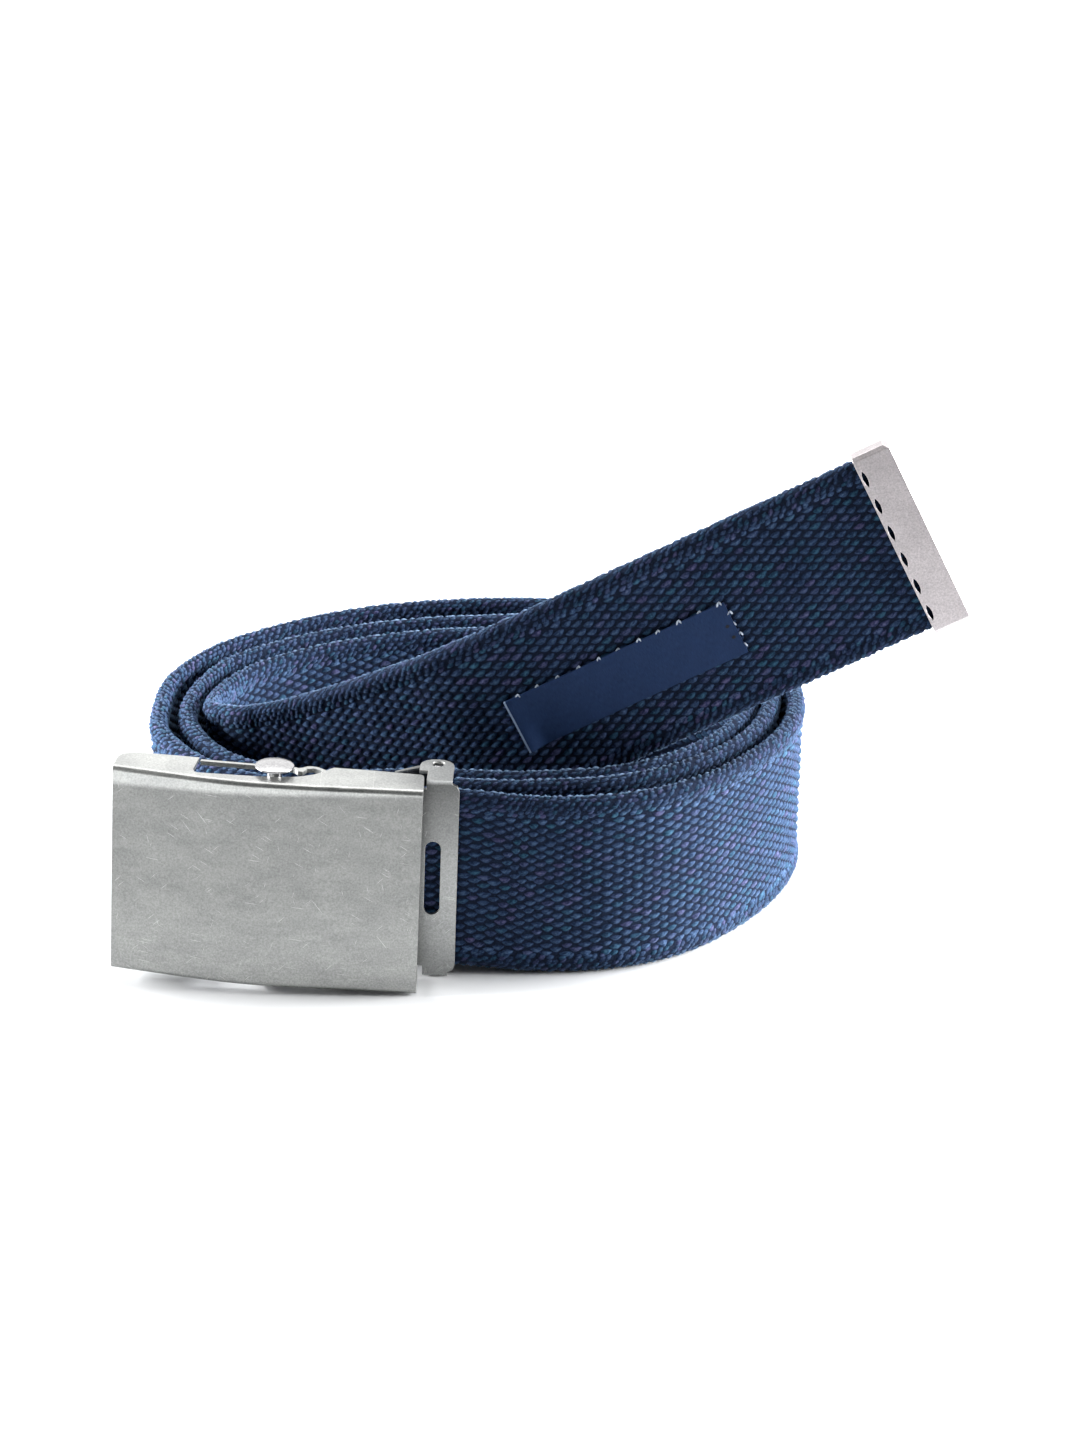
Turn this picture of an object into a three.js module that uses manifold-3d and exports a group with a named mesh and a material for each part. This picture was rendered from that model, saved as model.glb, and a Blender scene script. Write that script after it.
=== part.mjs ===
// A woven web belt rolled up and standing on its edge, with its slide buckle in front
// and its metal-tipped free end rising out of the roll to the right.
// Millimetres, +Z up. X runs to the right along the buckle, Y away from it.
// The origin is under the middle of the whole belt, on the surface that it stands on.

import * as THREE from 'three';
import { mergeVertices } from 'three/addons/utils/BufferGeometryUtils.js';
import Module from 'manifold-3d';

// Webbing
const strapWidth = 39.8;
const strapThickness = 3.3;
const selvageDiameter = 4.2;
const selvageWidth = 5;
const strapSteps = 216;
const pinchLength = 13;

// Buckle housing: a bowed face with a flange folded back along each long side
const housingLength = 62.5;
const housingHeight = 44.5;
const housingDepth = 12;
const housingSheet = 0.9;
const housingBow = 2.8;
const bowPeak = -4;
const bowEase = 0.25;
const housingRoll = 2.45;
const housingYaw = -6.6;
const foldRadius = 1.1;

// Slots in both flanges, and the roller that slides in them
const slotRear = 6.2;
const stripRear = 7.1;
const slitWidth = 0.45;
const rollerAt = 0.9;
const rollerDepth = 3.4;
const stemDiameter = 3;
const barDiameter = 3.6;
const buttonDiameter = 7.9;
const buttonRim = 0.6;
const buttonDome = 0.6;
const topButtonLift = 1.3;
const headDiameter = 7;
const headHeight = 0.6;

// Clamp that holds the fixed end of the webbing
const clampHeight = 44.2;
const clampSheet = 0.8;
const clampLean = 3.6;
const clampRoll = 2.1;
const clampYaw = -2.5;
const clampRight = 3.4;
const clampTongue = 14;
const tongueInset = 2.15;
const earLeft = -4.95;
const earStep = -3.2;
const earStepDepth = 4.2;
const earRight = 1.9;
const earDepth = 9.6;
const shoulderDrop = 0.9;
const pinAcross = -1.3;
const pinDepth = 7.4;
const pinDiameter = 2;
const pinClearance = 0.3;
const knuckleRadius = 1.75;
const leverLength = 8.7;
const leverSheet = 0.9;

// Metal tip and woven label on the free end
const tipLength = 8;
const tipWall = 0.5;
const tipGap = 0.3;
const tipCover = 6.8;
const notchCount = 6;
const notchFromRim = 0.85;
const notchHalf = 1.9;
const tipClip = 1.1;
const labelLength = 49;
const labelWidth = 11.9;
const labelThickness = 0.5;
const labelGap = 0.35;
const labelFoot = 12.4;
const labelToTip = 35.8;

const degrees = Math.PI / 180;

// Route of the webbing's lower edge, from the clamp to the tip: x, y, height of the
// lower edge and outward lean in degrees.
const route = [
  // front of the outer turn
  { x: -28, y: -55, z: 1.85, lean: 3.6 },
  { x: -23, y: -55.2, z: 1.65, lean: 3.6 },
  { x: -18, y: -55.4, z: 1.42, lean: 3.6 },
  { x: -13, y: -55.7, z: 1.05, lean: 3.7 },
  { x: -5, y: -56, z: 0.35, lean: 4 },
  { x: 5, y: -55.8, z: 0, lean: 4 },
  { x: 15, y: -54.3, z: 0, lean: 4 },
  { x: 24, y: -50.6, z: 0, lean: 4 },
  { x: 32.5, y: -44, z: 0, lean: 4 },
  { x: 39.7, y: -35, z: 0, lean: 4 },
  { x: 45.3, y: -26, z: 0, lean: 4 },
  { x: 49.6, y: -16.6, z: 0, lean: 3.6 },
  // right side and back of the outer turn
  { x: 52.6, y: -6.5, z: 0, lean: 2 },
  { x: 53.6, y: 4, z: 0, lean: 0.6 },
  { x: 52.4, y: 18, z: 0, lean: 0 },
  { x: 47, y: 33.6, z: 0, lean: 0 },
  { x: 37, y: 45.4, z: 0, lean: 0 },
  { x: 22, y: 53.5, z: 0, lean: 0 },
  { x: 3, y: 57.1, z: 0, lean: 0 },
  { x: -15, y: 57.3, z: 0, lean: 0 },
  { x: -33.4, y: 53.8, z: 0, lean: 0 },
  { x: -46, y: 48.3, z: 0, lean: 0 },
  { x: -59, y: 39.3, z: 0, lean: 0 },
  { x: -70.4, y: 27.6, z: 0, lean: 0 },
  { x: -78.4, y: 10.4, z: 0, lean: 0 },
  { x: -80, y: -6, z: 0, lean: 0 },
  { x: -79.3, y: -18.6, z: 0, lean: 0 },
  // second turn, behind the buckle
  { x: -75.4, y: -27.4, z: 0, lean: 0.6 },
  { x: -69.6, y: -35.4, z: 0, lean: 1.6 },
  { x: -62, y: -41.8, z: 0, lean: 3 },
  { x: -52, y: -45.8, z: 0, lean: 4 },
  { x: -42, y: -46.8, z: 0, lean: 3.9 },
  { x: -31, y: -46.2, z: 0, lean: 3.9 },
  { x: -21.5, y: -45.8, z: 0, lean: 3.8 },
  { x: -13, y: -46.6, z: 0, lean: 4 },
  { x: -5, y: -47.2, z: 0, lean: 4 },
  { x: 4, y: -46.4, z: 0, lean: 4 },
  { x: 13, y: -45.2, z: 0, lean: 4 },
  { x: 22, y: -41.3, z: 0, lean: 4 },
  { x: 31, y: -34.3, z: 0, lean: 4 },
  { x: 38, y: -26, z: 0, lean: 4 },
  { x: 42.8, y: -17.2, z: 0, lean: 4 },
  { x: 46.7, y: -7, z: 0, lean: 2.4 },
  { x: 48.8, y: 3, z: 0, lean: 0.6 },
  { x: 48, y: 15, z: 0, lean: 0 },
  { x: 43, y: 28, z: 0, lean: 0 },
  { x: 33, y: 38.6, z: 0, lean: 0 },
  { x: 20, y: 44.8, z: 0, lean: 0 },
  { x: 4, y: 47.2, z: 0, lean: 0 },
  { x: -12, y: 46.6, z: 0, lean: 0 },
  { x: -30, y: 43.8, z: 0, lean: 0 },
  { x: -46, y: 37.6, z: 0, lean: 0 },
  { x: -58, y: 29.4, z: 0, lean: 0 },
  { x: -66.6, y: 20.6, z: 0, lean: 0 },
  { x: -71.4, y: 9.6, z: 0, lean: 0 },
  { x: -74, y: -3, z: 0, lean: 0 },
  { x: -73.8, y: -13, z: 0, lean: 0 },
  // third turn
  { x: -71, y: -22, z: 0, lean: 0.4 },
  { x: -66, y: -30.8, z: 0, lean: 1.4 },
  { x: -59, y: -37.2, z: 0, lean: 2.8 },
  { x: -50, y: -41.2, z: 0, lean: 3.8 },
  { x: -40, y: -42, z: 0, lean: 3.9 },
  { x: -30.6, y: -41.4, z: 0, lean: 3.9 },
  { x: -21.3, y: -41, z: 0, lean: 3.8 },
  { x: -12.4, y: -41.9, z: 0, lean: 4 },
  { x: -5, y: -42.5, z: 0, lean: 4 },
  { x: 4, y: -41.7, z: 0, lean: 4 },
  { x: 12.3, y: -40.3, z: 0, lean: 4 },
  { x: 20.3, y: -36.7, z: 0, lean: 4 },
  { x: 27.9, y: -30.5, z: 0, lean: 4 },
  { x: 34, y: -23.2, z: 0, lean: 4 },
  { x: 38.4, y: -14.8, z: 0, lean: 4 },
  { x: 42.2, y: -5.4, z: 0, lean: 2.4 },
  { x: 44, y: 4, z: 0, lean: 0.6 },
  { x: 42.6, y: 15.6, z: 0, lean: 0 },
  { x: 37, y: 26, z: 0, lean: 0 },
  { x: 26.6, y: 34, z: 0, lean: 0 },
  { x: 10, y: 38.8, z: 0, lean: 0 },
  { x: -8.8, y: 39, z: 0, lean: 0 },
  { x: -26, y: 36.8, z: 0, lean: 0 },
  { x: -41, y: 31.4, z: 0, lean: 0 },
  { x: -53, y: 24.2, z: 0, lean: 0 },
  { x: -61.4, y: 16, z: 0, lean: 0 },
  { x: -66.8, y: 6, z: 0, lean: 0 },
  // inner loop, and the free end rising to the right over the turns
  { x: -68.6, y: -4, z: 0.4, lean: 0 },
  { x: -66.2, y: -12, z: 1.4, lean: 0 },
  { x: -59.6, y: -17.4, z: 2.9, lean: 0 },
  { x: -50.4, y: -21, z: 5, lean: 0 },
  { x: -40.6, y: -24.6, z: 8.2, lean: 0 },
  { x: -30.6, y: -28.4, z: 12.6, lean: 0 },
  { x: -20.4, y: -31.8, z: 17.6, lean: 0 },
  { x: -10, y: -34.4, z: 22.9, lean: 0 },
  { x: 0, y: -35.6, z: 28.2, lean: 0 },
  { x: 10, y: -35.9, z: 33.3, lean: 0 },
  { x: 20, y: -35.9, z: 38.25, lean: 0 },
  { x: 30, y: -35.9, z: 43.15, lean: 0 },
  { x: 48, y: -35.9, z: 51.9, lean: 0 },
  { x: 66, y: -35.9, z: 60.6, lean: 0 },
  { x: 86, y: -35.9, z: 70.3, lean: 0 },
];

const path = new THREE.CatmullRomCurve3(
  route.map((station) => new THREE.Vector3(station.x, station.y, station.z)),
  false,
  'centripetal',
);
path.arcLengthDivisions = 3000;
const strapLength = path.getLength();

// Lean at a share u of the length, straight between the stations.
function leanAt(u) {
  const place = path.getUtoTmapping(u) * (route.length - 1);
  const first = Math.min(Math.floor(place), route.length - 2);
  const share = place - first;
  return route[first].lean * (1 - share) + route[first + 1].lean * share;
}

// Point of the webbing: s along it, v up from its lower edge, n out from its middle.
function ribbonPoint(s, v, n) {
  const u = THREE.MathUtils.clamp(s / strapLength, 0, 1);
  const along = path.getTangentAt(u);
  const upright = new THREE.Vector3(0, 0, 1).addScaledVector(along, -along.z).normalize();
  const outward = new THREE.Vector3().crossVectors(along, upright);
  const lean = leanAt(u) * degrees;
  const across = upright.clone().multiplyScalar(Math.cos(lean));
  across.addScaledVector(outward, Math.sin(lean));
  const normal = new THREE.Vector3().crossVectors(along, across);
  const past = s - strapLength * u;
  return path.getPointAt(u)
    .addScaledVector(along, past)
    .addScaledVector(across, v)
    .addScaledVector(normal, n);
}

// Moves a solid drawn with v along x, n along y and s along z onto the webbing.
function layOnRibbon(geometry) {
  const place = geometry.attributes.position;
  for (let i = 0; i < place.count; i += 1) {
    const point = ribbonPoint(place.getZ(i), place.getX(i), place.getY(i));
    place.setXYZ(i, point.x, point.y, point.z);
  }
  return closed(geometry);
}

// Keeps the positions only and joins equal corners, so that the mesh is closed.
function closed(geometry) {
  geometry.deleteAttribute('normal');
  geometry.deleteAttribute('uv');
  const joined = mergeVertices(geometry, 1e-5);
  joined.computeVertexNormals();
  return joined;
}

const wasm = await Module();
wasm.setup();

function toSolid(geometry) {
  const merged = closed(geometry.clone());
  return new wasm.Manifold(new wasm.Mesh({
    numProp: 3,
    vertProperties: new Float32Array(merged.attributes.position.array),
    triVerts: new Uint32Array(merged.index.array),
  }));
}

function toGeometry(solid) {
  const mesh = solid.getMesh();
  const geometry = new THREE.BufferGeometry();
  geometry.setAttribute('position', new THREE.BufferAttribute(mesh.vertProperties, 3));
  geometry.setIndex(new THREE.BufferAttribute(mesh.triVerts, 1));
  geometry.computeVertexNormals();
  return geometry;
}

function polygon(points) {
  return new THREE.Shape(points.map(([x, y]) => new THREE.Vector2(x, y)));
}

function extrude(shape, depth, steps = 1) {
  return new THREE.ExtrudeGeometry(shape, { depth, steps, bevelEnabled: false, curveSegments: 6 });
}

function block(width, depth, height, x, y, z) {
  return new THREE.BoxGeometry(width, depth, height).translate(x, y, z);
}

function named(name, geometry, material) {
  const mesh = new THREE.Mesh(geometry, material);
  mesh.name = name;
  return mesh;
}

const webbing = new THREE.MeshStandardMaterial({ color: 0x2b3550, roughness: 0.9, metalness: 0 });
const satin = new THREE.MeshStandardMaterial({ color: 0x2c3c5a, roughness: 0.6, metalness: 0 });
const wornNickel = new THREE.MeshStandardMaterial({ color: 0xb4b1ad, roughness: 0.36, metalness: 1 });
const brightNickel = new THREE.MeshStandardMaterial({ color: 0xdcd9d6, roughness: 0.25, metalness: 1 });
const tipMetal = new THREE.MeshStandardMaterial({ color: 0xc6bdbf, roughness: 0.4, metalness: 1 });

// The webbing's section: a flat body with a round selvage along each edge.
function strapSection() {
  const radius = selvageDiameter / 2;
  const half = strapThickness / 2;
  const turns = [70, 122, 180, 238, 290];
  const low = turns.map((turn) => [
    radius + radius * Math.cos(turn * degrees),
    radius * Math.sin(turn * degrees),
  ]);
  const high = turns.map((turn) => [
    strapWidth - radius - radius * Math.cos(turn * degrees),
    -radius * Math.sin(turn * degrees),
  ]);
  return polygon([
    [selvageWidth, half],
    ...low,
    [selvageWidth, -half],
    [strapWidth - selvageWidth, -half],
    ...high,
    [strapWidth - selvageWidth, half],
  ]);
}

// One length of webbing, pressed flat where the tip is crimped on.
function strapGeometry() {
  const geometry = extrude(strapSection(), strapLength, strapSteps);
  const place = geometry.attributes.position;
  const flat = strapThickness / selvageDiameter;
  for (let i = 0; i < place.count; i += 1) {
    const left = strapLength - tipCover - place.getZ(i);
    const share = THREE.MathUtils.smoothstep(left, 0, pinchLength - tipCover);
    const body = Math.abs(place.getY(i)) <= strapThickness / 2 + 1e-6 ? 1 : flat;
    place.setY(i, place.getY(i) * (body + (1 - body) * share));
  }
  return layOnRibbon(geometry);
}

// Metal cap folded over the end of the webbing, with lens-shaped notches in its rim.
function tipGeometry() {
  const start = strapLength - tipCover;
  const reach = tipCover + tipGap;
  const outer = strapThickness / 2 + tipGap + tipWall;
  const width = strapWidth + 2 * tipGap + 2 * tipWall;
  const middle = strapWidth / 2;
  const edge = 0.8;
  const shell = polygon([
    [middle - width / 2 + edge, -outer],
    [middle + width / 2 - edge, -outer],
    [middle + width / 2, -outer + edge],
    [middle + width / 2, outer - edge],
    [middle + width / 2 - edge, outer],
    [middle - width / 2 + edge, outer],
    [middle - width / 2, outer - edge],
    [middle - width / 2, -outer + edge],
  ]);
  const cap = toSolid(extrude(shell, tipLength));
  const hollow = block(width - 2 * tipWall, 2 * (outer - tipWall), reach + 1, middle, 0, reach / 2 - 0.5);
  let solid = cap.subtract(toSolid(hollow));
  const pitch = (strapWidth - 2) / notchCount;
  for (let i = 0; i < notchCount; i += 1) {
    const centre = 1 + pitch * (i + 0.5);
    const lens = polygon([
      [-notchHalf, 0],
      [-notchHalf * 0.55, 0.36],
      [0, 0.5],
      [notchHalf * 0.55, 0.36],
      [notchHalf, 0],
      [notchHalf * 0.55, -0.36],
      [0, -0.5],
      [-notchHalf * 0.55, -0.36],
    ]);
    const cutter = extrude(lens, 4 * outer);
    cutter.rotateX(Math.PI / 2).translate(centre, 2 * outer, notchFromRim);
    solid = solid.subtract(toSolid(cutter));
  }
  for (const side of [-1, 1]) {
    const points = [[0, -tipClip], [side, -tipClip], [side, 1], [-side * tipClip, 1], [-side * tipClip, 0]];
    const corner = polygon(side > 0 ? points : points.reverse());
    const cutter = extrude(corner, 4 * outer);
    cutter.rotateX(Math.PI / 2).translate(middle + side * width / 2, 2 * outer, tipLength);
    solid = solid.subtract(toSolid(cutter));
  }
  const geometry = toGeometry(solid);
  geometry.translate(0, 0, start);
  return layOnRibbon(geometry);
}

// Flat woven label on the outer side of the free end.
function labelGeometry() {
  const end = strapLength - tipCover - labelToTip;
  const low = strapThickness / 2 + labelGap;
  const shape = polygon([
    [labelFoot, low],
    [labelFoot, low + labelThickness],
    [labelFoot + labelWidth, low + labelThickness],
    [labelFoot + labelWidth, low],
  ].reverse());
  const geometry = extrude(shape, labelLength, 12);
  geometry.translate(0, 0, end - labelLength);
  return layOnRibbon(geometry);
}

// Brings a solid forward in its middle, as two nearly flat halves that meet in a soft bend.
function bend(geometry) {
  const place = geometry.attributes.position;
  const whole = Math.hypot(1, bowEase) - bowEase;
  for (let i = 0; i < place.count; i += 1) {
    const from = place.getX(i) - bowPeak;
    const share = from / (housingLength / 2 - Math.sign(from) * bowPeak);
    const sag = (Math.hypot(share, bowEase) - bowEase) / whole;
    place.setY(i, place.getY(i) - housingBow * (1 - sag));
  }
  return geometry;
}

// Rounded fold from (0, 0) corner going back: points of a quarter turn.
function foldPoints(z, direction, radius, steps, inset) {
  const points = [];
  for (let i = 0; i <= steps; i += 1) {
    const turn = (i / steps) * Math.PI / 2;
    points.push([
      inset + radius - radius * Math.cos(turn),
      z - direction * (inset + radius - radius * Math.sin(turn)),
    ]);
  }
  return points;
}

// Face and both flanges as one bent sheet, drawn in depth y and height z.
function housingSheetGeometry() {
  const inner = foldRadius - housingSheet;
  const outerTop = foldPoints(housingHeight, 1, foldRadius, 4, 0);
  const outerLow = foldPoints(0, -1, foldRadius, 4, 0).reverse();
  const innerTop = foldPoints(housingHeight, 1, inner, 2, housingSheet).reverse();
  const innerLow = foldPoints(0, -1, inner, 2, housingSheet);
  const outline = [
    ...outerLow,
    ...outerTop,
    [housingDepth, housingHeight],
    [housingDepth, housingHeight - housingSheet],
    ...innerTop,
    ...innerLow,
    [housingDepth, housingSheet],
    [housingDepth, 0],
  ];
  const geometry = extrude(polygon(outline), housingLength, 24);
  geometry.rotateX(Math.PI / 2).rotateZ(Math.PI / 2);
  return bend(geometry.translate(-housingLength / 2, 0, 0));
}

// Wide slot along the flange. Its front edge rises to the right, a cusp stands in from the
// rear, and behind it the slot ends in a lens. A narrow slit leaves it at the rear left.
function slotCutter() {
  const shape = polygon([
    [-15.3, 1.7],
    [-14.8, 0.5],
    [-14, 0.2],
    [-2.8, 0.7],
    [1.5, 1.25],
    [5, 2],
    [6.9, 2.9],
    [8.7, 4.1],
    [10.3, 5.7],
    [9.8, 6.5],
    [8.2, 7.2],
    [6.9, 6.6],
    [6.3, 5],
    [5.3, 5.1],
    [4.7, 5.8],
    [4, slotRear],
    [-15.1 + slitWidth, slotRear],
    [-15.04 + slitWidth, housingDepth + 2],
    [-15.04, housingDepth + 2],
  ]);
  return extrude(shape, housingHeight + 4).translate(0, 0, -2);
}

// All that lies behind the rear outline of the flanges: straight with rounded corners, and
// between them the thin strip behind the slot, the arch over the lens and a dip beside it.
function rearCutter() {
  const outline = [
    [-34, 4.9],
    [-31.2, 4.9],
    [-30.9, 6.1],
    [-30.2, 7],
    [-29.2, 7.5],
    [-27.5, 7.9],
    [-25.3, 8.05],
    [-15.04, 7.95],
    [-14.9, stripRear],
    [4.4, stripRear],
    [5.2, 6.75],
    [5.9, 7.1],
    [6.8, 8],
    [7.7, 8.25],
    [8.9, 8.1],
    [9.9, 7.4],
    [10.9, 6.7],
    [11.4, 7.6],
    [12.1, 8.5],
    [21, 8.7],
    [29.8, 8.6],
    [30.3, 8.1],
    [30.5, 7.3],
    [31.25, 0.6],
    [34, 0.6],
  ];
  const shape = polygon([...outline, [34, housingDepth + 2], [-34, housingDepth + 2]]);
  return extrude(shape, housingHeight + 4).translate(0, 0, -2);
}

function housingGeometry() {
  return toGeometry(toSolid(housingSheetGeometry())
    .subtract(toSolid(slotCutter()))
    .subtract(toSolid(rearCutter())));
}

// Bar across the housing, a thinner stem through each slot, a domed button on the upper
// end and a small flat head under the lower one.
function rollerGeometry() {
  const bar = barDiameter / 2;
  const stem = stemDiameter / 2;
  const button = buttonDiameter / 2;
  const barLow = housingSheet + 0.6;
  const barHigh = housingHeight - housingSheet - 0.6;
  const lowUnder = -0.4;
  const highUnder = housingHeight + topButtonLift;
  const profile = [
    [0, lowUnder - headHeight],
    [headDiameter / 2 - 0.3, lowUnder - headHeight],
    [headDiameter / 2, lowUnder - headHeight / 2],
    [headDiameter / 2, lowUnder],
    [stem, lowUnder],
    [stem, barLow],
    [bar, barLow],
    [bar, barHigh],
    [stem, barHigh],
    [stem, highUnder],
    [button, highUnder],
    [button, highUnder + buttonRim * 0.5],
    [button * 0.86, highUnder + buttonRim],
    [button * 0.5, highUnder + buttonRim + buttonDome * 0.6],
    [0, highUnder + buttonRim + buttonDome * 0.8],
  ];
  const turned = new THREE.LatheGeometry(profile.map(([r, z]) => new THREE.Vector2(r, z)), 28);
  turned.rotateX(Math.PI / 2).translate(rollerAt, rollerDepth, 0);
  return closed(turned);
}

// Outline of one ear in plan: it folds back from the plate and has a round rear edge.
function earShape() {
  const shape = new THREE.Shape();
  const middle = (earLeft + earRight) / 2;
  const half = (earRight - earLeft) / 2;
  shape.moveTo(earStep, 0.2);
  shape.lineTo(earRight, 0.2);
  shape.lineTo(earRight, earDepth - half * 0.8);
  for (let i = 1; i < 8; i += 1) {
    const turn = (i / 8) * Math.PI;
    shape.lineTo(middle + half * Math.cos(turn), earDepth - half * 0.8 + half * 0.8 * Math.sin(turn));
  }
  shape.lineTo(earLeft, earDepth - half * 0.8);
  shape.lineTo(earLeft, earStepDepth);
  shape.lineTo(earStep, earStepDepth);
  return shape;
}

function pinHole(length, z) {
  const radius = pinDiameter / 2 + pinClearance;
  const hole = new THREE.CylinderGeometry(radius, radius, length, 16);
  return hole.rotateX(Math.PI / 2).translate(pinAcross, pinDepth, z);
}

// Plate in front of the webbing, with an ear at each side and a tongue into the housing.
function clampGeometry() {
  const corner = 1.5;
  const high = clampHeight;
  const shoulder = high - shoulderDrop;
  const plateShape = polygon([
    [earStep, 0],
    [earRight, 0],
    [earRight, shoulderDrop],
    [clampRight - corner * 0.9, shoulderDrop],
    [clampRight - corner * 0.3, shoulderDrop + corner * 0.3],
    [clampRight, shoulderDrop + corner],
    [clampRight, shoulder - corner],
    [clampRight - corner * 0.3, shoulder - corner * 0.3],
    [clampRight - corner * 0.9, shoulder],
    [earRight, shoulder],
    [earRight, high],
    [earStep, high],
    [earStep, high - tongueInset],
    [-clampTongue, high - tongueInset],
    [-clampTongue, tongueInset],
    [earStep, tongueInset],
  ]);
  const plate = extrude(plateShape, clampSheet).rotateX(Math.PI / 2).translate(0, clampSheet, 0);
  const slot = new THREE.Shape();
  slot.absarc(0, 0, 1.6, 0, Math.PI, false);
  slot.absarc(0, -13.3, 1.6, Math.PI, 2 * Math.PI, false);
  const hole = extrude(slot, 6).rotateX(Math.PI / 2).translate(-1.6, 3, high - 15.4);
  const ear = extrude(earShape(), clampSheet);
  const lowEar = toSolid(ear.clone());
  const highEar = toSolid(ear.clone().translate(0, 0, high - clampSheet));
  return toGeometry(toSolid(plate)
    .add(lowEar)
    .add(highEar)
    .subtract(toSolid(hole))
    .subtract(toSolid(pinHole(2, 0.5)))
    .subtract(toSolid(pinHole(2, high - 0.5))));
}

// Hinged lever behind the webbing: a knuckle round the pin and a flat leaf to the left.
function leverGeometry() {
  const low = clampSheet + 0.35;
  const height = clampHeight - 2 * low;
  const knuckle = new THREE.CylinderGeometry(knuckleRadius, knuckleRadius, height, 24);
  knuckle.rotateX(Math.PI / 2).translate(pinAcross, pinDepth, low + height / 2);
  const back = pinDepth + knuckleRadius;
  const leaf = extrude(polygon([
    [0.2, back - 0.1],
    [-3.6, back - 0.3],
    [-4.2, back - 0.6],
    [0.7 - leverLength, back - 3.1],
    [-leverLength, back - 3.6],
    [0.5 - leverLength, back - 3.9],
    [-4.2, back - leverSheet - 0.75],
    [-3.4, back - leverSheet - 0.4],
    [0.2, back - leverSheet - 0.3],
  ]), height).translate(pinAcross, 0, low);
  return toGeometry(toSolid(knuckle)
    .add(toSolid(leaf))
    .subtract(toSolid(pinHole(clampHeight, clampHeight / 2))));
}

function pinGeometry() {
  const profile = [
    [0, -0.1],
    [pinDiameter / 2 - 0.2, -0.1],
    [pinDiameter / 2, 0.1],
    [pinDiameter / 2, clampHeight - 0.7],
    [pinDiameter / 2 - 0.3, clampHeight - 0.45],
    [0, clampHeight - 0.4],
  ];
  const turned = new THREE.LatheGeometry(profile.map(([r, z]) => new THREE.Vector2(r, z)), 16);
  return closed(turned.rotateX(Math.PI / 2).translate(pinAcross, pinDepth, 0));
}

// The group turned with the housing, its lower right front corner at its place.
function housingGroup() {
  const turned = new THREE.Group();
  turned.rotation.set(0, housingRoll * degrees, housingYaw * degrees, 'ZYX');
  turned.updateMatrixWorld(true);
  const corner = new THREE.Vector3(housingLength / 2, 0, 0).applyEuler(turned.rotation);
  turned.position.set(-25.1, -68.5, 0.35).sub(corner);
  turned.add(named('buckle_housing', housingGeometry(), wornNickel));
  turned.add(named('lock_roller', rollerGeometry(), brightNickel));
  return turned;
}

function clampGroup() {
  const turned = new THREE.Group();
  turned.rotation.set(clampLean * degrees, clampRoll * degrees, clampYaw * degrees, 'ZYX');
  turned.position.set(-20.9, -58.7, 0.2);
  turned.add(named('strap_clamp', clampGeometry(), wornNickel));
  turned.add(named('clamp_lever', leverGeometry(), wornNickel));
  turned.add(named('clamp_pin', pinGeometry(), brightNickel));
  return turned;
}

const rolled = new THREE.Group();
rolled.add(named('webbing_strap', strapGeometry(), webbing));
rolled.add(named('strap_tip', tipGeometry(), tipMetal));
rolled.add(named('woven_label', labelGeometry(), satin));
rolled.add(housingGroup());
rolled.add(clampGroup());

// Brings the middle of the belt's box over the origin, standing on height 0.
const box = new THREE.Box3().setFromObject(rolled, true);
const centre = box.getCenter(new THREE.Vector3());
rolled.position.set(-centre.x, -centre.y, -box.min.z);

const belt = new THREE.Group();
belt.add(rolled);

export default belt;
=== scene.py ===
import math

import bmesh
import bpy
import numpy as np
from mathutils import Matrix, Vector


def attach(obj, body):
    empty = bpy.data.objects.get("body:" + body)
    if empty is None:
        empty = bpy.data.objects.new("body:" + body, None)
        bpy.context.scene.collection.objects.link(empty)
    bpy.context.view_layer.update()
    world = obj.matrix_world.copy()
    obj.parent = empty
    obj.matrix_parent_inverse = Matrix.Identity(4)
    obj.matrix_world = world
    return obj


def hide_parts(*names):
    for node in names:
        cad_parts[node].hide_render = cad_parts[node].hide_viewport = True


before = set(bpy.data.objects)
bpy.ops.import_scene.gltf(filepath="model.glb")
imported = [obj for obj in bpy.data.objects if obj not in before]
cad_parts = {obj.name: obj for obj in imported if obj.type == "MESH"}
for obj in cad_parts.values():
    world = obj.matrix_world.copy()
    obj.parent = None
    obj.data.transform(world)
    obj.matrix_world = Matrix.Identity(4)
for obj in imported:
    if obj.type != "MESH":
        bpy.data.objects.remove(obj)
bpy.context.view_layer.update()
scene = bpy.context.scene
scene.view_settings.view_transform = "Standard"

view = {
    "target": (0.00007, 0.00457, 0.03303), "distance": 1.0, "down": 21.5,  # metres and degrees
    "lens": 117.5, "sensor": 36, "near": 0.01,
}


def linkObject(name, data):
    made = bpy.data.objects.new(name, data)
    scene.collection.objects.link(made)
    return made


def makeCamera(view):
    tilt = math.radians(view["down"])
    data = bpy.data.cameras.new("viewCamera")
    data.sensor_fit = "VERTICAL"
    data.sensor_height = view["sensor"]
    data.lens = view["lens"]
    data.clip_start = view["near"]
    camera = linkObject("viewCamera", data)
    back = Vector((0, -math.cos(tilt), math.sin(tilt)))
    camera.location = Vector(view["target"]) + back * view["distance"]
    camera.rotation_euler = (math.pi / 2 - tilt, 0, 0)
    scene.camera = camera


makeCamera(view)
print("camera set")

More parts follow.
